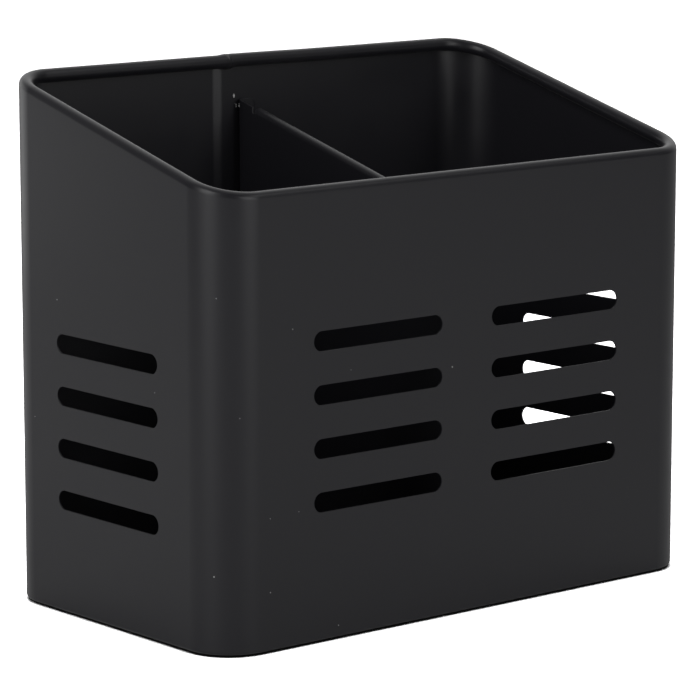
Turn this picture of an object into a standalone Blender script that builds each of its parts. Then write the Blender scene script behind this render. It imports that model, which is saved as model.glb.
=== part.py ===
"""Countertop utensil holder in bent sheet steel, with a sloping rolled rim and one divider.

One strip of sheet is wrapped round a rounded rectangle and lapped on itself at the middle of
the back. Its top edge is cut on a slope and rolled inwards. Its bottom edge is turned in as a
lip that carries a drained base plate, which stands on four rubber pads. A divider with a rolled
top edge is welded to the front and back walls by its end flanges.

Units are metres, +Z is up, and the front wall faces -Y. The origin is on the table, under the
centre of the holder.
"""
import math

import bmesh
import bpy
from mathutils import Matrix

# Overall size of the wrapped body
width = 0.178
depth = 0.1004
front_height = 0.1255
back_height = 0.1519
corner_radius = 0.0141
ground_clearance = 0.0006

# Sheet and fits
sheet = 0.0005
touch_gap = 0.0003
cut_overrun = 0.003
weld_distance = 0.000001

# Rolled rim, turned-in lip and the bend between the wall and the lip
rim_radius = 0.00204
rim_turn = math.radians(285)
lip_width = 0.006
lip_bend = 0.001

# Lapped seam on the back wall, measured from the middle of the wall
outer_end = -0.0084
inner_end = -0.0057
joggle_start = -0.0133
joggle_length = 0.0035
lap_gap = 0.0001
butt_gap = 0.0002
roll_sag = 0.0006
roll_sag_start = -0.0128
roll_sag_length = 0.0034
roll_sag_fade = 0.0021
roll_neck = 0.0022
roll_lift = 0.00022
roll_lift_fade = 0.036
lift_fade_shares = (0.1, 0.16, 0.24, 0.34, 0.46, 0.6, 0.78, 1)

# Slots
slot_height = 0.0056
slot_pitch = 0.0149
slot_rows = 4
lowest_slot = 0.0388
front_left_slot_length = 0.0464
front_left_slot_x = -0.0334
front_right_slot_length = 0.049
front_right_slot_x = 0.0328
side_slot_length = 0.0466
side_slot_setback = 0.0006
left_slot_drop = 0.0064
right_slot_drop = 0.0046

# Divider, with its left face measured from the middle of the holder
divider_face = -0.0038
divider_drop = 0.014
divider_hem_radius = 0.0017
divider_hem_turn = math.radians(280)
divider_hem_setback = 0.008
divider_relief = 0.001
divider_flange = 0.0061
divider_bend = 0.0012
divider_flange_corner = 0.0018

# Base plate, its drain holes and the pads under it
base_thickness = 0.0008
drain_radius = 0.003
drain_columns = 3
drain_rows = 3
drain_column_pitch = 0.021
drain_row_pitch = 0.024
pad_radius = 0.005
pad_edge = 0.0004
pad_lip_clearance = 0.0025

# Facets
corner_steps = 10
roll_steps = 13
hem_steps = 10
bend_steps = 4
joggle_steps = 9
sag_steps = 5
slot_end_steps = 8
drain_sides = 20
pad_sides = 32

half_width = width / 2
half_depth = depth / 2
back = (0, 1)
rim_slope = (back_height - front_height) / depth
lap_step = sheet + lap_gap
base_underside = ground_clearance + sheet + touch_gap
base_middle = base_underside + base_thickness / 2
base_top = base_underside + base_thickness


def rim_top(y):
    """Height over the table of the inclined plane in which the top of the rim's roll lies."""
    return ground_clearance + front_height + rim_slope * (y + half_depth)


def ease(share):
    """Smooth step from 0 to 1."""
    share = min(max(share, 0), 1)
    return share * share * (3 - 2 * share)


def new_collection(name):
    made = bpy.data.collections.new(name)
    bpy.context.scene.collection.children.link(made)
    return made


def new_object(name, mesh, collection):
    made = bpy.data.objects.new(name, mesh)
    collection.objects.link(made)
    return made


def new_material(name, colour, roughness, metallic):
    made = bpy.data.materials.new(name)
    made.use_nodes = True
    shader = made.node_tree.nodes["Principled BSDF"]
    shader.inputs["Base Color"].default_value = (*colour, 1)
    shader.inputs["Roughness"].default_value = roughness
    shader.inputs["Metallic"].default_value = metallic
    made.diffuse_color = (*colour, 1)
    return made


def shade_round(mesh):
    mesh.shade_smooth()
    mesh.set_sharp_from_angle(angle=math.radians(35))


def loft(name, columns):
    """Open sheet through columns of points. A point is None where the sheet is cut away."""
    bm = bmesh.new()
    grid = [[None if p is None else bm.verts.new(p) for p in column] for column in columns]
    for here, there in zip(grid, grid[1:]):
        for low in range(len(here) - 1):
            corners = (here[low], here[low + 1], there[low + 1], there[low])
            if None not in corners:
                bm.faces.new(corners)
    loose = [v for v in bm.verts if not v.link_faces]
    bmesh.ops.delete(bm, geom=loose, context="VERTS")
    mesh = bpy.data.meshes.new(name)
    bm.to_mesh(mesh)
    bm.free()
    return mesh


def give_thickness(piece, thickness):
    """The lofted face stays outside, and the sheet grows to its inner side."""
    solidify = piece.modifiers.new("sheet", "SOLIDIFY")
    solidify.thickness = thickness
    solidify.offset = -1
    solidify.use_even_offset = True
    solidify.use_quality_normals = True


def cut(piece, cutter):
    boolean = piece.modifiers.new(cutter.name, "BOOLEAN")
    boolean.operation = "DIFFERENCE"
    boolean.solver = "EXACT"
    boolean.object = cutter
    cutter.hide_render = True
    cutter.display_type = "WIRE"


def flat_plate(name, outline, thickness):
    """Mesh of a flat outline in the XY plane, with half its thickness on each side."""
    curve = bpy.data.curves.new(name, "CURVE")
    curve.dimensions = "2D"
    curve.fill_mode = "BOTH"
    curve.extrude = thickness / 2
    spline = curve.splines.new("POLY")
    spline.points.add(len(outline) - 1)
    for point, (x, y) in zip(spline.points, outline):
        point.co = (x, y, 0, 1)
    spline.use_cyclic_u = True
    holder = bpy.data.objects.new(name, curve)
    bpy.context.scene.collection.objects.link(holder)
    bpy.context.view_layer.update()
    evaluated = holder.evaluated_get(bpy.context.evaluated_depsgraph_get())
    mesh = bpy.data.meshes.new_from_object(evaluated)
    mesh.name = name
    bpy.data.objects.remove(holder)
    bpy.data.curves.remove(curve)
    bm = bmesh.new()
    bm.from_mesh(mesh)
    bmesh.ops.remove_doubles(bm, verts=bm.verts, dist=weld_distance)
    bmesh.ops.recalc_face_normals(bm, faces=bm.faces)
    bm.to_mesh(mesh)
    bm.free()
    return mesh


def upright_section(place, out, profile):
    """Points at a place of the plan, from pairs of distance inwards and height."""
    return [None if pair is None else (place[0] - out[0] * pair[0], place[1] - out[1] * pair[0], pair[1])
            for pair in profile]


# Wrapped body


def corner_stations(centre_x, centre_y, start_degrees):
    """Quarter turn of the wrap, clockwise from above, as places and outward directions."""
    stations = []
    for step in range(corner_steps + 1):
        angle = math.radians(start_degrees - 90 * step / corner_steps)
        out = (math.cos(angle), math.sin(angle))
        place = (centre_x + corner_radius * out[0], centre_y + corner_radius * out[1])
        stations.append((place, out))
    return stations


def body_section(place, out, set_in=0, sag=0, lift=0, has_lip=True, has_roll=True):
    """One section of the wrap, from the lip's inner edge to the free edge of the rolled rim.

    set_in moves the wall below the roll inwards, sag deepens the roll's underside and lift raises
    the roll.
    """
    wall_foot = ground_clearance + lip_bend
    lip = [(lip_width, ground_clearance)]
    for step in range(bend_steps):
        angle = math.radians(90 * step / bend_steps)
        lip.append((lip_bend * (1 - math.sin(angle)), wall_foot - lip_bend * math.cos(angle)))
    middle = rim_top(place[1] - out[1] * rim_radius) + lift - rim_radius
    roll = []
    for step in range(1, roll_steps + 1):
        angle = rim_turn * step / roll_steps
        radius = rim_radius if math.sin(angle) > 0 else rim_radius + sag
        roll.append((rim_radius * (1 - math.cos(angle)), middle + radius * math.sin(angle)))
    if not has_lip:
        lip = [None] * len(lip)
    wall = [(set_in, wall_foot), (set_in, middle - roll_neck)]
    neck = [(0, middle)]
    if not has_roll:
        neck = [None]
        roll = [None] * len(roll)
    return upright_section(place, out, lip + wall + neck + roll)


def outer_lap_section(run):
    """Section of the seam's outer lap, whose roll sags and lifts at its end."""
    sag = roll_sag * (1 - ease(run / roll_sag_fade))
    lift = roll_lift * (1 - ease(run / roll_lift_fade))
    return body_section((outer_end + run, half_depth), back, 0, sag, lift)


def inner_lap_section(x, has_roll=True):
    """Section of the seam's inner lap, whose wall steps inwards below its roll."""
    wall_share = ease((x - joggle_start) / joggle_length)
    roll_share = ease((x - roll_sag_start) / roll_sag_length)
    return body_section((x, half_depth), back, wall_share * lap_step, roll_share * roll_sag,
                        roll_share * roll_lift, False, has_roll)


def body_sections():
    """Sections along the wrap, from the seam's outer end round to its inner end."""
    runs = [roll_sag_fade * step / sag_steps for step in range(sag_steps + 1)]
    runs += [roll_lift_fade * share for share in lift_fade_shares]
    sections = [outer_lap_section(run) for run in runs]
    x, y = half_width - corner_radius, half_depth - corner_radius
    for centre_x, centre_y, start in ((x, y, 90), (x, -y, 0), (-x, -y, -90), (-x, y, 180)):
        sections += [body_section(*station) for station in corner_stations(centre_x, centre_y, start)]
    sections.append(body_section((joggle_start - lip_bend, half_depth), back))
    sag_end = roll_sag_start + roll_sag_length
    for step in range(joggle_steps + 1):
        sections.append(inner_lap_section(joggle_start + (sag_end - joggle_start) * step / joggle_steps))
    sections.append(inner_lap_section(outer_end - butt_gap))
    sections.append(inner_lap_section(inner_end, has_roll=False))
    return sections


def slot_outline(length):
    """Slot with round ends, in its own plane, centred on zero."""
    radius = slot_height / 2
    points = []
    for side, start in ((1, -90), (-1, 90)):
        for step in range(slot_end_steps + 1):
            angle = math.radians(start + 180 * step / slot_end_steps)
            points.append((side * (length / 2 - radius) + radius * math.cos(angle),
                           radius * math.sin(angle)))
    return points


def slot_cutter(name, length, centres, bearing, cutters):
    """Upright prisms through one wall, at the slots' centres in the middle of the sheet."""
    slot = flat_plate(name, slot_outline(length), sheet + 2 * cut_overrun)
    upright = Matrix.Rotation(bearing, 4, "Z") @ Matrix.Rotation(math.radians(90), 4, "X")
    bm = bmesh.new()
    for centre in centres:
        first = len(bm.verts)
        bm.from_mesh(slot)
        bm.verts.ensure_lookup_table()
        bmesh.ops.transform(bm, matrix=Matrix.Translation(centre) @ upright, verts=bm.verts[first:])
    bm.to_mesh(slot)
    bm.free()
    return new_object(name, slot, cutters)


def make_body(parts, cutters, finish):
    mesh = loft("body", body_sections())
    mesh.materials.append(finish)
    shade_round(mesh)
    body = new_object("body", mesh, parts)
    give_thickness(body, sheet)
    heights = [ground_clearance + lowest_slot + row * slot_pitch for row in range(slot_rows)]
    front_middle, side_middle = half_depth - sheet / 2, half_width - sheet / 2
    front_left = [(front_left_slot_x, -front_middle, z) for z in heights]
    front_right = [(front_right_slot_x, -front_middle, z) for z in heights]
    left = [(-side_middle, side_slot_setback, z - left_slot_drop) for z in heights]
    right = [(side_middle, side_slot_setback, z - right_slot_drop) for z in heights]
    across = math.radians(90)
    cut(body, slot_cutter("front_left_slots", front_left_slot_length, front_left, 0, cutters))
    cut(body, slot_cutter("front_right_slots", front_right_slot_length, front_right, 0, cutters))
    cut(body, slot_cutter("left_slots", side_slot_length, left, across, cutters))
    cut(body, slot_cutter("right_slots", side_slot_length, right, across, cutters))


# Divider


def divider_stations():
    """Places along the divider's left face, from the front flange's tip to the back one's.

    Each is the place, the outward direction, how far the top is rounded down, and whether it is
    plain, cut away for the hem's relief, or rolled.
    """
    reach = half_depth - sheet - touch_gap
    tip = divider_face + divider_flange
    stations = []
    for step in range(bend_steps + 1):
        angle = math.radians(90 * step / bend_steps)
        x = tip - divider_flange_corner * (1 - math.cos(angle))
        rounded = divider_flange_corner * (1 - math.sin(angle))
        stations.append(((x, -reach), (0, -1), rounded, "plain"))
    for step in range(bend_steps + 1):
        angle = math.radians(-90 - 90 * step / bend_steps)
        out = (math.cos(angle), math.sin(angle))
        place = (divider_face + divider_bend * (1 + out[0]), divider_bend * (1 + out[1]) - reach)
        stations.append((place, out, 0, "plain"))
    hem_end = reach - divider_hem_setback
    stations.append(((divider_face, -hem_end - divider_relief), (-1, 0), 0, "plain"))
    stations.append(((divider_face, -hem_end - divider_relief / 2), (-1, 0), 0, "cut"))
    stations.append(((divider_face, -hem_end), (-1, 0), 0, "rolled"))
    mirrored = [((place[0], -place[1]), (out[0], -out[1]), rounded, top)
                for place, out, rounded, top in reversed(stations)]
    return stations + mirrored


def divider_section(place, out, rounded, top):
    """One section of the divider, from its lower edge to its plain, cut or rolled top."""
    edge = rim_top(place[1]) - divider_drop
    roll_height = edge - divider_hem_radius
    profile = [(0, base_top + touch_gap), (0, roll_height - rounded)]
    if top == "plain":
        profile.append((0, edge - rounded))
    if top == "rolled":
        for step in range(1, hem_steps + 1):
            angle = divider_hem_turn * step / hem_steps
            profile.append((divider_hem_radius * (1 - math.cos(angle)),
                            roll_height + divider_hem_radius * math.sin(angle)))
    profile += [None] * (hem_steps + 2 - len(profile))
    return upright_section(place, out, profile)


def make_divider(parts, finish):
    mesh = loft("divider", [divider_section(*station) for station in divider_stations()])
    mesh.materials.append(finish)
    shade_round(mesh)
    give_thickness(new_object("divider", mesh, parts), sheet)


# Base plate and pads


def rounded_rectangle(half_x, half_y, radius):
    points = []
    for sign_x, sign_y, start in ((1, 1, 0), (-1, 1, 90), (-1, -1, 180), (1, -1, 270)):
        for step in range(corner_steps + 1):
            angle = math.radians(start + 90 * step / corner_steps)
            points.append((sign_x * (half_x - radius) + radius * math.cos(angle),
                           sign_y * (half_y - radius) + radius * math.sin(angle)))
    return points


def centred_offsets(count, pitch):
    return [(step - (count - 1) / 2) * pitch for step in range(count)]


def drain_cutter(cutters):
    bm = bmesh.new()
    columns = [side * half_width / 2 + offset for side in (-1, 1)
               for offset in centred_offsets(drain_columns, drain_column_pitch)]
    for x in columns:
        for y in centred_offsets(drain_rows, drain_row_pitch):
            hole = bmesh.ops.create_cone(bm, cap_ends=True, segments=drain_sides, radius1=drain_radius,
                                         radius2=drain_radius, depth=base_thickness + 2 * cut_overrun)
            bmesh.ops.translate(bm, verts=hole["verts"], vec=(x, y, base_middle))
    mesh = bpy.data.meshes.new("drain_holes")
    bm.to_mesh(mesh)
    bm.free()
    return new_object("drain_holes", mesh, cutters)


def make_base(parts, cutters, finish):
    inset = sheet + lap_step + touch_gap
    outline = rounded_rectangle(half_width - inset, half_depth - inset, corner_radius - inset)
    mesh = flat_plate("base_plate", outline, base_thickness)
    mesh.materials.append(finish)
    base = new_object("base_plate", mesh, parts)
    base.location.z = base_middle
    cut(base, drain_cutter(cutters))


def make_pads(parts, finish):
    height = base_underside - touch_gap
    inset = lip_width + pad_lip_clearance + pad_radius
    for name, side_x, side_y in (("pad_front_left", -1, -1), ("pad_front_right", 1, -1),
                                 ("pad_back_left", -1, 1), ("pad_back_right", 1, 1)):
        bm = bmesh.new()
        bmesh.ops.create_cone(bm, cap_ends=True, segments=pad_sides, radius1=pad_radius, radius2=pad_radius,
                              depth=height)
        mesh = bpy.data.meshes.new(name)
        bm.to_mesh(mesh)
        bm.free()
        mesh.materials.append(finish)
        shade_round(mesh)
        pad = new_object(name, mesh, parts)
        pad.location = (side_x * (half_width - inset), side_y * (half_depth - inset), height / 2)
        bevel = pad.modifiers.new("edge", "BEVEL")
        bevel.width = pad_edge
        bevel.segments = 2
        bevel.limit_method = "ANGLE"


def build():
    for piece in list(bpy.data.objects):
        bpy.data.objects.remove(piece, do_unlink=True)
    parts = new_collection("utensil_holder")
    cutters = new_collection("cutters")
    powder_coat = new_material("black_powder_coat", (0.021, 0.021, 0.022), 0.42, 0)
    rubber = new_material("pad_rubber", (0.03, 0.03, 0.03), 0.8, 0)
    make_body(parts, cutters, powder_coat)
    make_divider(parts, powder_coat)
    make_base(parts, cutters, powder_coat)
    make_pads(parts, rubber)


build()
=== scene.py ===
"""Looks of a black powder-coated utensil holder in bent sheet steel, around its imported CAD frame.

Units are metres, +Z is up, the front wall faces -Y, and the origin is on the table under the
centre of the holder.
"""

import math

import bmesh
import bpy
from mathutils import Matrix, Vector


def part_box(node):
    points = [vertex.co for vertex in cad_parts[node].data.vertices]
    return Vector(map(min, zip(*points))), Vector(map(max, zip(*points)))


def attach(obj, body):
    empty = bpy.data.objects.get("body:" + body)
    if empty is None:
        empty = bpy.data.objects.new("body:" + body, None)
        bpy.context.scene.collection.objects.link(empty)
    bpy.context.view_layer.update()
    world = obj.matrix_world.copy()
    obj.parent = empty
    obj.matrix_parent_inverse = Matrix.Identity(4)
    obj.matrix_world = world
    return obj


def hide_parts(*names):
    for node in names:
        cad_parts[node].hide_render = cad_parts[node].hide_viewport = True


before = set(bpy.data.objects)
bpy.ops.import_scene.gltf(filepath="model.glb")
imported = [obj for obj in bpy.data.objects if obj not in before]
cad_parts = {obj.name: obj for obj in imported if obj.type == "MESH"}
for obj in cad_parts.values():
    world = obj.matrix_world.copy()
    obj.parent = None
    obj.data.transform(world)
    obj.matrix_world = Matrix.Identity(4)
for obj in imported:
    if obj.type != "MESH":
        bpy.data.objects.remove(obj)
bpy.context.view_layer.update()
scene = bpy.context.scene
scene.view_settings.view_transform = "Standard"


# Camera
# The photograph's view: a long lens, forty degrees to the left of the front wall's normal and
# ten degrees above the horizon.

camera_place = Vector((-0.6787, -0.8057, 0.2553))
camera_target = Vector((-0.0446, -0.0502, 0.0812))
sensor_width = 0.036
focal_share = 5.2787

camera_data = bpy.data.cameras.new("photo_view")
camera_data.sensor_width = sensor_width * 1000
camera_data.lens = focal_share * sensor_width * 1000
camera_data.clip_start = 0.05
camera_data.clip_end = 40
camera = bpy.data.objects.new("photo_view", camera_data)
camera.location = camera_place
camera.rotation_euler = (camera_target - camera_place).to_track_quat("-Z", "Y").to_euler()
scene.collection.objects.link(camera)
scene.camera = camera


# Floor and studio
# A matt white floor with a pale glow behind the holder, lit by soft boxes on both sides and above.
# The camera sees the floor and the background white, apart from a thin contact shadow that is
# painted into the floor's seen colour under the holder's lower edge.

floor_size = 24
floor_tone = 0.8
floor_seen_tone = 6
contact_shadow_reach = 0.003
contact_shadow_tone = 0.05
contact_shadow_full = 0.4
contact_shadow_none = 0.65
glow_height = math.radians(25)
glow_falloff = 3.0
light_aim = Vector((0, 0, 0.08))


def node(tree, kind, inputs=None, **settings):
    """New node whose inputs are values or the sockets of other nodes."""
    made = tree.nodes.new(kind)
    for name, value in settings.items():
        setattr(made, name, value)
    for name, value in (inputs or {}).items():
        if isinstance(value, bpy.types.NodeSocket):
            tree.links.new(value, made.inputs[name])
        else:
            made.inputs[name].default_value = value
    return made


def new_object(name, data):
    made = bpy.data.objects.new(name, data)
    scene.collection.objects.link(made)
    return made


def camera_sees(tree):
    """1 for the camera's own rays, which should meet a white background, and 0 for all others."""
    path = node(tree, "ShaderNodeLightPath")
    return path.outputs["Is Camera Ray"]


floor_paint = bpy.data.materials.new("white_floor")
floor_paint.use_nodes = True
tree = floor_paint.node_tree
tree.nodes.clear()
matt = node(tree, "ShaderNodeBsdfDiffuse", {"Color": (floor_tone, floor_tone, floor_tone, 1)})
# Painted shadow: ambient occlusion darkens the floor's seen colour to a thin dark contact line under the
# holder's lower edge.
covered = node(tree, "ShaderNodeAmbientOcclusion", {"Distance": contact_shadow_reach}, samples=8)
lit = node(tree, "ShaderNodeMapRange", {
    "Value": covered.outputs["AO"], "From Min": contact_shadow_full, "From Max": contact_shadow_none,
    "To Min": contact_shadow_tone, "To Max": floor_seen_tone})
bright = node(tree, "ShaderNodeBsdfDiffuse", {"Color": lit.outputs[0]})
seen = node(tree, "ShaderNodeMixShader", {0: camera_sees(tree), 1: matt.outputs[0], 2: bright.outputs[0]})
node(tree, "ShaderNodeOutputMaterial", {"Surface": seen.outputs[0]})

floor_mesh = bpy.data.meshes.new("floor")
bm = bmesh.new()
bmesh.ops.create_grid(bm, x_segments=1, y_segments=1, size=floor_size / 2)
bm.to_mesh(floor_mesh)
bm.free()
floor_mesh.materials.append(floor_paint)
floor = new_object("floor", floor_mesh)

world = bpy.data.worlds.new("studio")
world.use_nodes = True
tree = world.node_tree
tree.nodes.clear()
away = camera_target - camera_place
away.z = 0
glow_middle = away.normalized() * math.cos(glow_height) + Vector((0, 0, math.sin(glow_height)))
direction = node(tree, "ShaderNodeTexCoord")
facing = node(tree, "ShaderNodeVectorMath", {0: direction.outputs["Generated"], 1: glow_middle},
              operation="DOT_PRODUCT")
ahead = node(tree, "ShaderNodeMath", {0: facing.outputs["Value"], 1: 0.0}, operation="MAXIMUM")
falling = node(tree, "ShaderNodeMath", {0: ahead.outputs[0], 1: glow_falloff}, operation="POWER")
glow = node(tree, "ShaderNodeBackground", {"Color": (1, 1, 1, 1), "Strength": falling.outputs[0]})
white = node(tree, "ShaderNodeBackground", {"Color": (1, 1, 1, 1), "Strength": 1})
seen = node(tree, "ShaderNodeMixShader", {0: camera_sees(tree), 1: glow.outputs[0], 2: white.outputs[0]})
node(tree, "ShaderNodeOutputWorld", {"Surface": seen.outputs[0]})
scene.world = world


def soft_box(name, bearing, distance, height, size, power):
    """Area light turned to the holder's middle. Its bearing is in degrees to the right of the camera."""
    to_camera = camera_place - camera_target
    turn = math.atan2(to_camera.y, to_camera.x) + math.radians(bearing)
    light = bpy.data.lights.new(name, "AREA")
    light.shape = "RECTANGLE"
    light.size, light.size_y = size
    light.energy = power
    made = new_object(name, light)
    made.location = (distance * math.cos(turn), distance * math.sin(turn), height)
    made.rotation_euler = (light_aim - made.location).to_track_quat("-Z", "Y").to_euler()


soft_box("left_box", -40, 1.6, 0.6, (0.9, 1.2), 7)
soft_box("right_box", 50, 1.6, 0.6, (0.9, 1.2), 5.8)
soft_box("high_box", -37, 1.2, 1.3, (0.6, 0.6), 4.1)
soft_box("side_box", 80, 1.2, 1.3, (0.6, 0.6), 1.35)
soft_box("top_box", 180, 0.15, 1.8, (1.4, 1.4), 1.6)
soft_box("side_card", -118, 0.42, 0.18, (0.25, 0.3), 0.22)


# Powder coat
# Black polyester powder baked on the steel: satin, with a fine orange peel, a faint mottle and
# a few specks of dust.

coat_tone = (0.0165, 0.0161, 0.0198, 1)
speck_tone = (0.35, 0.35, 0.35, 1)
coat_roughness = 0.35
roughness_spread = 0.02
coat_sheen = 0.1
sheen_roughness = 0.3
peel_depth = 0.000006
coat_edge = 0.00013


def coat_surface_group():
    """Height of the orange peel, the mottle between 0 and 1, and the mask of the dust specks."""
    group = bpy.data.node_groups.new("coat_surface", "ShaderNodeTree")
    for name, value in (("Peel Size", 0.0011), ("Mottle Size", 0.009), ("Speck Spacing", 0.017),
                        ("Speck Share", 0.012)):
        socket = group.interface.new_socket(name, in_out="INPUT", socket_type="NodeSocketFloat")
        socket.default_value = value
    for name in ("Height", "Mottle", "Specks"):
        group.interface.new_socket(name, in_out="OUTPUT", socket_type="NodeSocketFloat")
    sizes = node(group, "NodeGroupInput").outputs
    place = node(group, "ShaderNodeTexCoord").outputs["Object"]

    def per_metre(size):
        return node(group, "ShaderNodeMath", {0: 1.0, 1: size}, operation="DIVIDE").outputs[0]

    peel = node(group, "ShaderNodeTexNoise", {"Vector": place, "Scale": per_metre(sizes["Peel Size"]),
                                              "Detail": 2.0, "Roughness": 0.55})
    mottle = node(group, "ShaderNodeTexNoise", {"Vector": place, "Scale": per_metre(sizes["Mottle Size"]),
                                                "Detail": 3.0, "Roughness": 0.6})
    cells = node(group, "ShaderNodeTexVoronoi", {"Vector": place,
                                                 "Scale": per_metre(sizes["Speck Spacing"])})
    speck_size = node(group, "ShaderNodeMath", {0: cells.outputs["Color"], 1: sizes["Speck Share"]},
                      operation="MULTIPLY")
    specks = node(group, "ShaderNodeMath", {0: cells.outputs["Distance"], 1: speck_size.outputs[0]},
                  operation="LESS_THAN")
    node(group, "NodeGroupOutput", {"Height": peel.outputs[0], "Mottle": mottle.outputs[0],
                                    "Specks": specks.outputs[0]})
    return group


coat_surface = coat_surface_group()


def new_material(name):
    """New material, with its node tree and its Principled BSDF."""
    made = bpy.data.materials.new(name)
    made.use_nodes = True
    return made, made.node_tree, made.node_tree.nodes["Principled BSDF"]


def powder_coat():
    made, tree, shader = new_material("black_powder_coat")
    surface = node(tree, "ShaderNodeGroup", node_tree=coat_surface).outputs
    mottled = node(tree, "ShaderNodeMapRange", {
        "Value": surface["Mottle"], "From Min": 0.3, "From Max": 0.7,
        "To Min": coat_roughness - roughness_spread, "To Max": coat_roughness + roughness_spread})
    tinted = node(tree, "ShaderNodeMix", {"Factor": surface["Specks"], 6: coat_tone, 7: speck_tone},
                  data_type="RGBA")
    bump = node(tree, "ShaderNodeBump", {"Height": surface["Height"], "Strength": 1.0,
                                         "Distance": peel_depth})
    shader.inputs["Sheen Weight"].default_value = coat_sheen
    shader.inputs["Sheen Roughness"].default_value = sheen_roughness
    tree.links.new(tinted.outputs[2], shader.inputs["Base Color"])
    tree.links.new(mottled.outputs[0], shader.inputs["Roughness"])
    tree.links.new(bump.outputs[0], shader.inputs["Normal"])
    made.diffuse_color = coat_tone
    return made


coat = powder_coat()


# Wrapped body
# One strip of half-millimetre sheet wrapped round a rounded rectangle and lapped at the middle
# of the back. Its sloping top edge is rolled inwards, its bottom edge is turned in as a lip, and
# rows of slots are punched through the front and side walls.

body_low, body_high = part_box("body")
cad_margin = 0.000003
half_width = body_high.x - cad_margin
half_depth = body_high.y - cad_margin
ground_clearance = body_low.z
front_height = 0.1255
back_height = 0.1519
corner_radius = 0.0141
sheet = 0.0005
backwards = (0, 1)

# The rim's roll, and the lip along the bottom edge.
rim_radius = 0.00204
rim_turn = math.radians(285)
lip_width = 0.006
lip_bend = 0.001

# The seam: where its ends lie, the inner lap's joggle, and how the roll sags and lifts beside it.
outer_end = -0.0084
inner_end = -0.0057
joggle_start = -0.0133
joggle_length = 0.0035
lap_step = sheet + 0.0001
butt_gap = 0.00001
roll_sag = 0.0006
roll_sag_start = -0.0128
roll_sag_length = 0.0034
roll_sag_fade = 0.0021
roll_neck = 0.0022
roll_lift = 0.00022
roll_lift_fade = 0.036
lift_fade_shares = (0.08, 0.11, 0.15, 0.2, 0.27, 0.36, 0.46, 0.58, 0.72, 0.86, 1)

corner_steps = 26
roll_steps = 32
bend_steps = 8
joggle_steps = 26
sag_steps = 10


def rim_top(y):
    slope = (back_height - front_height) / (2 * half_depth)
    return ground_clearance + front_height - cad_margin + slope * (y + half_depth)


def ease(share):
    share = min(max(share, 0), 1)
    return share * share * (3 - 2 * share)


def upright_section(place, out, profile):
    """Points at a place of the plan, from pairs of distance inwards and height."""
    return [None if pair is None else (place[0] - out[0] * pair[0], place[1] - out[1] * pair[0], pair[1])
            for pair in profile]


def body_section(place, out, set_in=0, sag=0, lift=0, has_lip=True, has_roll=True):
    """One section of the wrap, from the lip's inner edge to the free edge of the rolled rim.

    set_in moves the wall below the roll inwards, sag deepens the roll's underside and lift raises
    the roll.
    """
    wall_foot = ground_clearance + lip_bend
    lip = [(lip_width, ground_clearance)]
    for step in range(bend_steps):
        angle = math.radians(90 * step / bend_steps)
        lip.append((lip_bend * (1 - math.sin(angle)), wall_foot - lip_bend * math.cos(angle)))
    middle = rim_top(place[1] - out[1] * rim_radius) + lift - rim_radius
    roll = []
    for step in range(1, roll_steps + 1):
        angle = rim_turn * step / roll_steps
        radius = rim_radius if math.sin(angle) > 0 else rim_radius + sag
        roll.append((rim_radius * (1 - math.cos(angle)), middle + radius * math.sin(angle)))
    if not has_lip:
        lip = [None] * len(lip)
    wall = [(set_in, wall_foot), (set_in, middle - roll_neck)]
    neck = [(0, middle)]
    if not has_roll:
        neck = [None]
        roll = [None] * len(roll)
    return upright_section(place, out, lip + wall + neck + roll)


def corner_stations(centre_x, centre_y, start_degrees):
    """Quarter turn of the wrap, clockwise from above, as places and outward directions."""
    stations = []
    for step in range(corner_steps + 1):
        angle = math.radians(start_degrees - 90 * step / corner_steps)
        out = (math.cos(angle), math.sin(angle))
        stations.append(((centre_x + corner_radius * out[0], centre_y + corner_radius * out[1]), out))
    return stations


def outer_lap_section(run):
    """Section of the seam's outer lap, whose roll sags and lifts at its end."""
    sag = roll_sag * (1 - ease(run / roll_sag_fade))
    lift = roll_lift * (1 - ease(run / roll_lift_fade))
    return body_section((outer_end + run, half_depth), backwards, 0, sag, lift)


def inner_lap_section(x, has_roll=True):
    """Section of the seam's inner lap, whose wall steps inwards below its roll."""
    wall_share = ease((x - joggle_start) / joggle_length)
    roll_share = ease((x - roll_sag_start) / roll_sag_length)
    return body_section((x, half_depth), backwards, wall_share * lap_step, roll_share * roll_sag,
                        roll_share * roll_lift, False, has_roll)


def body_sections():
    """Sections along the wrap, from the seam's outer end round to its inner end."""
    runs = [roll_sag_fade * step / sag_steps for step in range(sag_steps + 1)]
    runs += [roll_lift_fade * share for share in lift_fade_shares]
    sections = [outer_lap_section(run) for run in runs]
    x, y = half_width - corner_radius, half_depth - corner_radius
    for centre_x, centre_y, start in ((x, y, 90), (x, -y, 0), (-x, -y, -90), (-x, y, 180)):
        sections += [body_section(*station) for station in corner_stations(centre_x, centre_y, start)]
    sections.append(body_section((joggle_start - lip_bend, half_depth), backwards))
    sag_end = roll_sag_start + roll_sag_length
    for step in range(joggle_steps + 1):
        sections.append(inner_lap_section(joggle_start + (sag_end - joggle_start) * step / joggle_steps))
    sections.append(inner_lap_section(outer_end - butt_gap))
    sections.append(inner_lap_section(inner_end, has_roll=False))
    return sections


def loft(name, columns):
    """Open sheet through columns of points. A point is None where the sheet is cut away."""
    bm = bmesh.new()
    grid = [[None if p is None else bm.verts.new(p) for p in column] for column in columns]
    for here, there in zip(grid, grid[1:]):
        for low in range(len(here) - 1):
            corners = (here[low], here[low + 1], there[low + 1], there[low])
            if None not in corners:
                bm.faces.new(corners)
    loose = [v for v in bm.verts if not v.link_faces]
    bmesh.ops.delete(bm, geom=loose, context="VERTS")
    mesh = bpy.data.meshes.new(name)
    bm.to_mesh(mesh)
    bm.free()
    mesh.shade_smooth()
    return mesh


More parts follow.
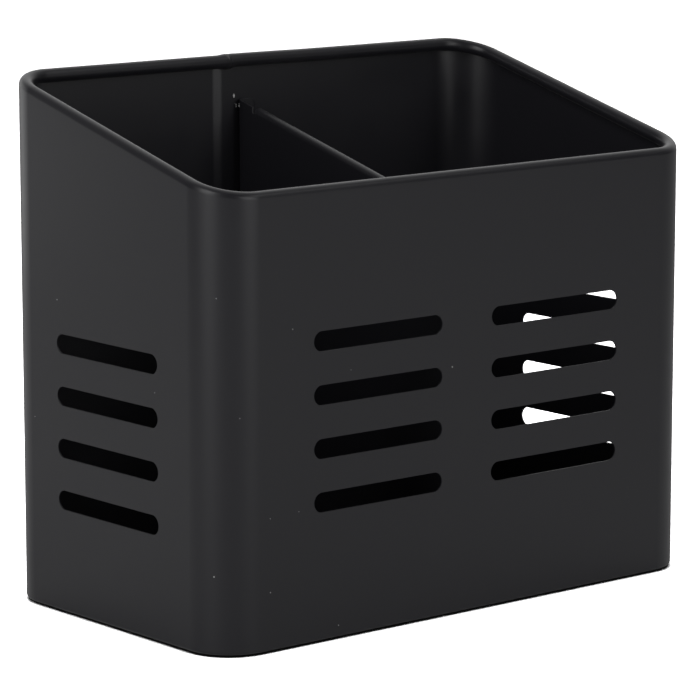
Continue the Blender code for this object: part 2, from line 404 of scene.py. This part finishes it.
def give_thickness(piece, thickness):
    solidify = piece.modifiers.new("sheet", "SOLIDIFY")
    solidify.thickness = thickness
    solidify.offset = -1
    solidify.use_even_offset = True
    solidify.use_quality_normals = True


def geometry_group(name, sizes):
    """Geometry Nodes tree with a geometry input and output, and named sizes as inputs."""
    group = bpy.data.node_groups.new(name, "GeometryNodeTree")
    group.interface.new_socket("Geometry", in_out="INPUT", socket_type="NodeSocketGeometry")
    group.interface.new_socket("Geometry", in_out="OUTPUT", socket_type="NodeSocketGeometry")
    for size, kind in sizes.items():
        group.interface.new_socket(size, in_out="INPUT", socket_type=kind)
    return group, node(group, "NodeGroupInput").outputs


def closed_prism(group, face, depth):
    """Closed solid of the given depth above a flat face, as the node that makes it."""
    upwards = node(group, "ShaderNodeCombineXYZ", {"Z": depth})
    walls = node(group, "GeometryNodeExtrudeMesh", {"Mesh": face.outputs[0], "Offset": upwards.outputs[0],
                                                    "Offset Scale": 1.0, "Individual": False})
    underside = node(group, "GeometryNodeFlipFaces", {"Mesh": face.outputs[0]})
    closed = node(group, "GeometryNodeJoinGeometry")
    group.links.new(walls.outputs[0], closed.inputs[0])
    group.links.new(underside.outputs[0], closed.inputs[0])
    return node(group, "GeometryNodeMergeByDistance",
                {"Geometry": closed.outputs[0], "Distance": merge_distance})


def paint_and_end(group, made, material):
    """Shades what a node made smooth, gives it the material, and ends the tree with it."""
    even = node(group, "GeometryNodeSetShadeSmooth", {"Geometry": made.outputs[0]})
    painted = node(group, "GeometryNodeSetMaterial", {"Geometry": even.outputs[0], "Material": material})
    node(group, "NodeGroupOutput", {"Geometry": painted.outputs[0]})
    return group


def use_group(piece, group, values):
    """Adds the tree to the piece as a modifier, with its inputs set by name."""
    modifier = piece.modifiers.new(group.name, "NODES")
    modifier.node_group = group
    for item in group.interface.items_tree:
        if item.in_out == "INPUT" and item.name in values:
            modifier[item.identifier] = values[item.name]


def settle(piece):
    """Turns what the piece's modifiers make into its own plain mesh."""
    bpy.context.view_layer.update()
    shown = piece.evaluated_get(bpy.context.evaluated_depsgraph_get())
    made = bpy.data.meshes.new_from_object(shown)
    piece.modifiers.clear()
    piece.data = made
    made.name = piece.name


FLOAT, INTEGER, VECTOR = "NodeSocketFloat", "NodeSocketInt", "NodeSocketVector"
MATERIAL = "NodeSocketMaterial"
just_under_half = 0.4999
slot_end_steps = 8
merge_distance = 0.000001


def punched_slots_group():
    """Cuts a column of level slots with round ends out of one wall of the sheet."""
    group, sizes = geometry_group("punched_slots", {
        "Slot Length": FLOAT, "Slot Height": FLOAT, "Rows": INTEGER, "Row Pitch": FLOAT,
        "Middle": VECTOR, "Bearing": VECTOR, "Depth": FLOAT, "Material": MATERIAL})
    outline = node(group, "GeometryNodeCurvePrimitiveQuadrilateral",
                   {"Width": sizes["Slot Length"], "Height": sizes["Slot Height"]})
    end_radius = node(group, "ShaderNodeMath", {0: sizes["Slot Height"], 1: just_under_half},
                      operation="MULTIPLY")
    rounded = node(group, "GeometryNodeFilletCurve", {
        "Curve": outline.outputs[0], "Count": slot_end_steps, "Radius": end_radius.outputs[0]}, mode="POLY")
    face = node(group, "GeometryNodeFillCurve", {"Curve": rounded.outputs[0]}, mode="NGONS")
    punch = closed_prism(group, face, sizes["Depth"])
    sunk = node(group, "ShaderNodeMath", {0: sizes["Depth"], 1: -0.5}, operation="MULTIPLY")
    centre = node(group, "ShaderNodeCombineXYZ", {"Z": sunk.outputs[0]})
    centred = node(group, "GeometryNodeTransform",
                   {"Geometry": punch.outputs[0], "Translation": centre.outputs[0]})
    steps = node(group, "ShaderNodeMath", {0: sizes["Rows"], 1: 1.0}, operation="SUBTRACT")
    span = node(group, "ShaderNodeMath", {0: steps.outputs[0], 1: sizes["Row Pitch"]}, operation="MULTIPLY")
    places = node(group, "GeometryNodeMeshGrid", {"Size X": 0.0, "Size Y": span.outputs[0],
                                                  "Vertices X": 1, "Vertices Y": sizes["Rows"]})
    slots = node(group, "GeometryNodeInstanceOnPoints",
                 {"Points": places.outputs[0], "Instance": centred.outputs[0]})
    real = node(group, "GeometryNodeRealizeInstances", {"Geometry": slots.outputs[0]})
    upright = node(group, "GeometryNodeTransform",
                   {"Geometry": real.outputs[0], "Rotation": (math.radians(90), 0, 0)})
    in_wall = node(group, "GeometryNodeTransform",
                   {"Geometry": upright.outputs[0], "Rotation": sizes["Bearing"],
                    "Translation": sizes["Middle"]})
    punched = node(group, "GeometryNodeMeshBoolean", {"Mesh 1": sizes["Geometry"]},
                   operation="DIFFERENCE", solver="EXACT")
    group.links.new(in_wall.outputs[0], punched.inputs["Mesh 2"])
    return paint_and_end(group, punched, sizes["Material"])


slot_height = 0.0056
slot_pitch = 0.0149
slot_rows = 4
lowest_slot = 0.0388
front_left_slot_length = 0.0464
front_left_slot_x = -0.0334
front_right_slot_length = 0.049
front_right_slot_x = 0.0328
side_slot_length = 0.0466
side_slot_setback = 0.0006
left_slot_drop = 0.0064
right_slot_drop = 0.0046
punch_depth = 0.0055

body = new_object("wrapped_body", loft("wrapped_body", body_sections()))
body.data.materials.append(coat)
give_thickness(body, sheet)
punched_slots = punched_slots_group()
front_middle, side_middle = half_depth - sheet / 2, half_width - sheet / 2
slots_middle = ground_clearance + lowest_slot + slot_pitch * (slot_rows - 1) / 2
quarter = math.radians(90)
for middle, bearing, length in (
        ((front_left_slot_x, -front_middle, slots_middle), 0, front_left_slot_length),
        ((front_right_slot_x, -front_middle, slots_middle), 0, front_right_slot_length),
        ((-side_middle, side_slot_setback, slots_middle - left_slot_drop), quarter, side_slot_length),
        ((side_middle, side_slot_setback, slots_middle - right_slot_drop), quarter, side_slot_length)):
    use_group(body, punched_slots, {
        "Slot Length": length, "Slot Height": slot_height, "Rows": slot_rows, "Row Pitch": slot_pitch,
        "Middle": middle, "Bearing": (0, 0, bearing), "Depth": punch_depth, "Material": coat})


sharp_edge = math.radians(40)


def round_edges(piece, width, segments=2):
    """Rounds the piece's cut edges, as the baked powder does, and keeps its flats flat."""
    bevel = piece.modifiers.new("coat_edge", "BEVEL")
    bevel.width = width
    bevel.segments = segments
    bevel.limit_method = "ANGLE"
    bevel.angle_limit = sharp_edge
    weighted = piece.modifiers.new("flat_faces", "WEIGHTED_NORMAL")
    weighted.weight = 100


round_edges(body, coat_edge)
settle(body)
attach(body, "root")
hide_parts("body")


# Divider
# One upright sheet between the two compartments. Its top edge is rolled into a hem, and its end
# flanges are spot-welded to the front and back walls.

divider_face = -0.0038
divider_drop = 0.014
divider_hem_radius = 0.0017
divider_hem_turn = math.radians(280)
divider_hem_setback = 0.008
divider_relief = 0.001
divider_flange = 0.0061
divider_bend = 0.0012
divider_flange_corner = 0.0018
flange_corner_degrees = (0, 30, 42, 54, 66, 78, 90)
touch_gap = 0.0003
base_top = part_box("base_plate")[1].z
hem_steps = 26


def divider_stations():
    """Places along the divider's left face, from the front flange's tip to the back one's.

    Each is the place, the outward direction, how far the top is rounded down, and whether it is
    plain, cut away for the hem's relief, or rolled.
    """
    reach = half_depth - sheet - touch_gap
    tip = divider_face + divider_flange
    stations = []
    for degrees in flange_corner_degrees:
        angle = math.radians(degrees)
        x = tip - divider_flange_corner * (1 - math.cos(angle))
        rounded = divider_flange_corner * (1 - math.sin(angle))
        stations.append(((x, -reach), (0, -1), rounded, "plain"))
    for step in range(bend_steps + 1):
        angle = math.radians(-90 - 90 * step / bend_steps)
        out = (math.cos(angle), math.sin(angle))
        place = (divider_face + divider_bend * (1 + out[0]), divider_bend * (1 + out[1]) - reach)
        stations.append((place, out, 0, "plain"))
    hem_end = reach - divider_hem_setback
    stations.append(((divider_face, -hem_end - divider_relief), (-1, 0), 0, "plain"))
    stations.append(((divider_face, -hem_end - divider_relief / 2), (-1, 0), 0, "cut"))
    stations.append(((divider_face, -hem_end), (-1, 0), 0, "rolled"))
    mirrored = [((place[0], -place[1]), (out[0], -out[1]), rounded, top)
                for place, out, rounded, top in reversed(stations)]
    return stations + mirrored


def divider_section(place, out, rounded, top):
    """One section of the divider, from its lower edge to its plain, cut or rolled top."""
    edge = rim_top(place[1]) - divider_drop
    roll_height = edge - divider_hem_radius
    profile = [(0, base_top + touch_gap), (0, roll_height - rounded)]
    if top == "plain":
        profile.append((0, edge - rounded))
    if top == "rolled":
        for step in range(1, hem_steps + 1):
            angle = divider_hem_turn * step / hem_steps
            profile.append((divider_hem_radius * (1 - math.cos(angle)),
                            roll_height + divider_hem_radius * math.sin(angle)))
    profile += [None] * (hem_steps + 2 - len(profile))
    return upright_section(place, out, profile)


divider_mesh = loft("divider_sheet", [divider_section(*station) for station in divider_stations()])
divider = new_object("divider_sheet", divider_mesh)
divider.data.materials.append(coat)
give_thickness(divider, sheet)
round_edges(divider, coat_edge)
settle(divider)
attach(divider, "root")
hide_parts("divider")


# Base plate
# A flat plate that rests on the body's turned-in lip, spot-welded to it. Each compartment has
# nine drain holes in it.

base_low, base_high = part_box("base_plate")
drain_radius = 0.003
drain_column_pitch = 0.021
drain_row_pitch = 0.024
drain_steps = 40
plate_corner_steps = 24


def drained_plate_group():
    """Rounded plate with a grid of round holes in each half."""
    group, sizes = geometry_group("drained_plate", {
        "Width": FLOAT, "Depth": FLOAT, "Corner Radius": FLOAT, "Thickness": FLOAT, "Hole Radius": FLOAT,
        "Column Pitch": FLOAT, "Row Pitch": FLOAT, "Half Offset": FLOAT, "Material": MATERIAL})
    outline = node(group, "GeometryNodeCurvePrimitiveQuadrilateral",
                   {"Width": sizes["Width"], "Height": sizes["Depth"]})
    rounded = node(group, "GeometryNodeFilletCurve", {
        "Curve": outline.outputs[0], "Count": plate_corner_steps, "Radius": sizes["Corner Radius"]},
        mode="POLY")
    hole = node(group, "GeometryNodeCurvePrimitiveCircle",
                {"Resolution": drain_steps, "Radius": sizes["Hole Radius"]})

    def doubled(size):
        return node(group, "ShaderNodeMath", {0: sizes[size], 1: 2.0}, operation="MULTIPLY").outputs[0]

    holes = node(group, "GeometryNodeMeshGrid", {
        "Size X": doubled("Column Pitch"), "Size Y": doubled("Row Pitch"), "Vertices X": 3, "Vertices Y": 3})
    halves = node(group, "GeometryNodeMeshGrid", {"Size X": doubled("Half Offset"), "Size Y": 0.0,
                                                  "Vertices X": 2, "Vertices Y": 1})
    half = node(group, "GeometryNodeInstanceOnPoints",
                {"Points": holes.outputs[0], "Instance": hole.outputs[0]})
    drains = node(group, "GeometryNodeInstanceOnPoints",
                  {"Points": halves.outputs[0], "Instance": half.outputs[0]})
    real = node(group, "GeometryNodeRealizeInstances", {"Geometry": drains.outputs[0]})
    curves = node(group, "GeometryNodeJoinGeometry")
    group.links.new(real.outputs[0], curves.inputs[0])
    group.links.new(rounded.outputs[0], curves.inputs[0])
    face = node(group, "GeometryNodeFillCurve", {"Curve": curves.outputs[0]}, mode="NGONS")
    return paint_and_end(group, closed_prism(group, face, sizes["Thickness"]), sizes["Material"])


base = new_object("drained_base", bpy.data.meshes.new("drained_base"))
use_group(base, drained_plate_group(), {
    "Width": base_high.x - base_low.x, "Depth": base_high.y - base_low.y,
    "Corner Radius": corner_radius - (half_width - base_high.x), "Thickness": base_high.z - base_low.z,
    "Hole Radius": drain_radius, "Column Pitch": drain_column_pitch, "Row Pitch": drain_row_pitch,
    "Half Offset": half_width / 2, "Material": coat})
round_edges(base, coat_edge)
settle(base)
base.data.transform(Matrix.Translation((0, 0, base_low.z)))
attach(base, "root")
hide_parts("base_plate")


# Rubber pads
# Four matt black discs stuck under the base plate, inside the lip. The holder stands on them.

pad_low, pad_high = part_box("pad_front_left")
pad_edge = 0.0004
pad_steps = 56
rubber_shades = ((0.3, 0.016), (0.75, 0.034))
rubber_grain_scale = 2600.0
rubber_relief = 0.00002
rubber_roughness = 0.82


def rubber_material():
    """Matt moulded rubber whose fine grain runs between two shades."""
    made, tree, shader = new_material("pad_rubber")
    place = node(tree, "ShaderNodeTexCoord").outputs["Object"]
    grain = node(tree, "ShaderNodeTexNoise", {"Vector": place, "Scale": rubber_grain_scale, "Detail": 3.0})
    shade = node(tree, "ShaderNodeValToRGB", {"Fac": grain.outputs[0]})
    for element, (position, tone) in zip(shade.color_ramp.elements, rubber_shades):
        element.position = position
        element.color = (tone, tone, tone, 1)
    relief = node(tree, "ShaderNodeBump", {"Height": grain.outputs[0], "Distance": rubber_relief})
    shader.inputs["Roughness"].default_value = rubber_roughness
    tree.links.new(shade.outputs[0], shader.inputs["Base Color"])
    tree.links.new(relief.outputs[0], shader.inputs["Normal"])
    return made


def pad_disc_group():
    """Disc on each corner of a rectangle of places."""
    group, sizes = geometry_group("pad_discs", {
        "Radius": FLOAT, "Height": FLOAT, "Span X": FLOAT, "Span Y": FLOAT, "Material": MATERIAL})
    disc = node(group, "GeometryNodeMeshCylinder", {"Vertices": pad_steps, "Radius": sizes["Radius"],
                                                    "Depth": sizes["Height"]})
    half = node(group, "ShaderNodeMath", {0: sizes["Height"], 1: 0.5}, operation="MULTIPLY")
    lift = node(group, "ShaderNodeCombineXYZ", {"Z": half.outputs[0]})
    stood = node(group, "GeometryNodeTransform",
                 {"Geometry": disc.outputs[0], "Translation": lift.outputs[0]})
    places = node(group, "GeometryNodeMeshGrid", {"Size X": sizes["Span X"], "Size Y": sizes["Span Y"],
                                                  "Vertices X": 2, "Vertices Y": 2})
    pads = node(group, "GeometryNodeInstanceOnPoints",
                {"Points": places.outputs[0], "Instance": stood.outputs[0]})
    real = node(group, "GeometryNodeRealizeInstances", {"Geometry": pads.outputs[0]})
    return paint_and_end(group, real, sizes["Material"])


pads = new_object("rubber_pads", bpy.data.meshes.new("rubber_pads"))
use_group(pads, pad_disc_group(), {
    "Radius": (pad_high.x - pad_low.x) / 2, "Height": pad_high.z - pad_low.z,
    "Span X": -(pad_low.x + pad_high.x), "Span Y": -(pad_low.y + pad_high.y), "Material": rubber_material()})
round_edges(pads, pad_edge, segments=4)
settle(pads)
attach(pads, "root")
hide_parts("pad_front_left", "pad_front_right", "pad_back_left", "pad_back_right")


# Weld marks
# The rim's two ends are welded where they butt near the middle of the back, and a bead of spatter
# and two small tacks stand on the back wall at the divider's flange. Their pale tones are painted
# light: a painted highlight on the butt of the roll, and painted glints on the spatter and tacks.

roll_weld_right = -0.0091
roll_weld_width = 0.0013
roll_weld_height = 0.00005
roll_weld_start = math.radians(35)
roll_weld_end = math.radians(178)
pale_mottle_relief = 0.00001
# Places and half sizes of the spatter bead and the two tacks, whose pale colour is a painted glint.
spatter_glint_places = (((-0.00556, 0.04905, 0.1394), (0.00035, 0.00065, 0.0003)),
                  ((-0.0043, 0.0497, 0.1364), (0.00008, 0.0007, 0.0003)),
                  ((-0.0032, 0.0495, 0.1364), (0.00008, 0.0007, 0.0002)))


def pale_material(name, dark, pale, grain_size, roughness):
    """Dull grey surface that a fine noise mottles between two tones."""
    made, tree, shader = new_material(name)
    place = node(tree, "ShaderNodeTexCoord").outputs["Object"]
    noise = node(tree, "ShaderNodeTexNoise", {"Vector": place, "Scale": 1 / grain_size, "Detail": 2.0})
    shade = node(tree, "ShaderNodeMapRange", {"Value": noise.outputs[0], "From Min": 0.35, "From Max": 0.65,
                                              "To Min": dark, "To Max": pale})
    relief = node(tree, "ShaderNodeBump", {"Height": noise.outputs[0], "Distance": pale_mottle_relief})
    tree.links.new(shade.outputs[0], shader.inputs["Base Color"])
    tree.links.new(relief.outputs[0], shader.inputs["Normal"])
    shader.inputs["Roughness"].default_value = roughness
    return made


def roll_weld_columns():
    """Columns of points across the weld, each following the rim's roll from the outside inwards."""
    middle = rim_top(half_depth - rim_radius) + roll_lift - rim_radius
    columns = []
    for share in (0, 0.2, 0.5, 0.8, 1):
        column = []
        for step in range(roll_steps + 1):
            angle = roll_weld_start + (roll_weld_end - roll_weld_start) * step / roll_steps
            crown = cad_margin / 2 + roll_weld_height * share * (1 - share) * 4 * (1 - math.sin(angle))
            radius = rim_radius + crown
            column.append((roll_weld_right + (share - 1) * roll_weld_width * math.sin(angle),
                           half_depth - rim_radius + radius * math.cos(angle),
                           middle + radius * math.sin(angle)))
        columns.append(column)
    return columns


def placed_grains_group():
    """Rounded grain on each point, with the point's own half sizes, turned to the point's outward side."""
    group, sizes = geometry_group("placed_grains", {"Material": MATERIAL})
    grain = node(group, "GeometryNodeMeshIcoSphere", {"Radius": 1.0, "Subdivisions": 2})
    half_sizes = node(group, "GeometryNodeInputNamedAttribute", {"Name": "half_sizes"},
                      data_type="FLOAT_VECTOR")
    outward = node(group, "GeometryNodeInputNamedAttribute", {"Name": "outward"}, data_type="FLOAT_VECTOR")
    turn = node(group, "FunctionNodeAlignRotationToVector", {"Vector": outward.outputs["Attribute"]},
                axis="Z")
    grains = node(group, "GeometryNodeInstanceOnPoints",
                  {"Points": sizes["Geometry"], "Instance": grain.outputs[0],
                   "Rotation": turn.outputs[0], "Scale": half_sizes.outputs["Attribute"]})
    real = node(group, "GeometryNodeRealizeInstances", {"Geometry": grains.outputs[0]})
    return paint_and_end(group, real, sizes["Material"])


placed_grains = placed_grains_group()


def add_grains(name, places, material):
    """Piece of small grains. Each place is a point, an outward direction and three half sizes."""
    mesh = bpy.data.meshes.new(name)
    mesh.from_pydata([point for point, out, sizes in places], [], [])
    outward = mesh.attributes.new("outward", "FLOAT_VECTOR", "POINT")
    half_sizes = mesh.attributes.new("half_sizes", "FLOAT_VECTOR", "POINT")
    for index, (point, out, sizes) in enumerate(places):
        outward.data[index].vector = out
        half_sizes.data[index].vector = sizes
    piece = new_object(name, mesh)
    use_group(piece, placed_grains, {"Material": material})
    settle(piece)
    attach(piece, "root")


# Painted highlight: the weld's paler tones stand in for the light caught where the roll's ends butt.
weld_painted_highlight = pale_material("weld_painted_highlight", 0.05, 0.13, 0.0003, 0.45)
# Painted glints: the spatter's and tacks' pale tones stand in for the glints that light makes on them.
spatter_painted_glint = pale_material("spatter_painted_glint", 0.45, 0.75, 0.0002, 0.3)
roll_weld = new_object("roll_weld", loft("roll_weld", roll_weld_columns()))
roll_weld.data.materials.append(weld_painted_highlight)
give_thickness(roll_weld, roll_weld_height)
settle(roll_weld)
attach(roll_weld, "root")
add_grains("spatter_glints", [(place, (0, -1, 0), sizes) for place, sizes in spatter_glint_places], spatter_painted_glint)


# Dust
# Pale specks of dust that settled on the coat, in the places where they show on the front wall,
# on the left wall and on the corner between them.

dust_places = ((-0.0065, -1, 0.0715, 1), (-0.048, -1, 0.004, 0.8), (-0.064, -1, 0.0885, 0.8),
               (-0.072, -1, 0.017, 0.8), (-0.062, -1, 0.038, 0.6), (-0.072, -1, 0.0375, 0.6),
               (-0.0435, -1, 0.075, 0.5), (-1, 0.0235, 0.09, 0.8), (-1, -0.0215, 0.07, 0.7),
               (-1, 0.035, 0.055, 0.6), (-0.0865, -0.044, 0.0225, 1), (-0.086, -0.045, 0.0985, 0.7),
               (-0.081, -0.0485, 0.066, 0.6))
dust_size = 0.00024
dust_thickness = cad_margin * 0.8


def on_outside(x, y):
    """The wrap's outer face beside a place in plan, and its outward direction there."""
    reach_x, reach_y = half_width - corner_radius, half_depth - corner_radius
    centre = Vector((min(max(x, -reach_x), reach_x), min(max(y, -reach_y), reach_y)))
    out = (Vector((x, y)) - centre).normalized()
    return centre + corner_radius * out, out


def dust_grains():
    """Places for add_grains, from the x, y, height and share of dust_size of each speck.

    An x or y of -1 lies well outside the holder, to its left or in front, and so picks that wall.
    """
    grains = []
    for x, y, z, share in dust_places:
        place, out = on_outside(x, y)
        grains.append(((place.x, place.y, z), (out.x, out.y, 0),
                       (dust_size * share, dust_size * share, dust_thickness)))
    return grains


add_grains("dust_specks", dust_grains(), pale_material("dust", 0.35, 0.6, 0.0001, 0.9))
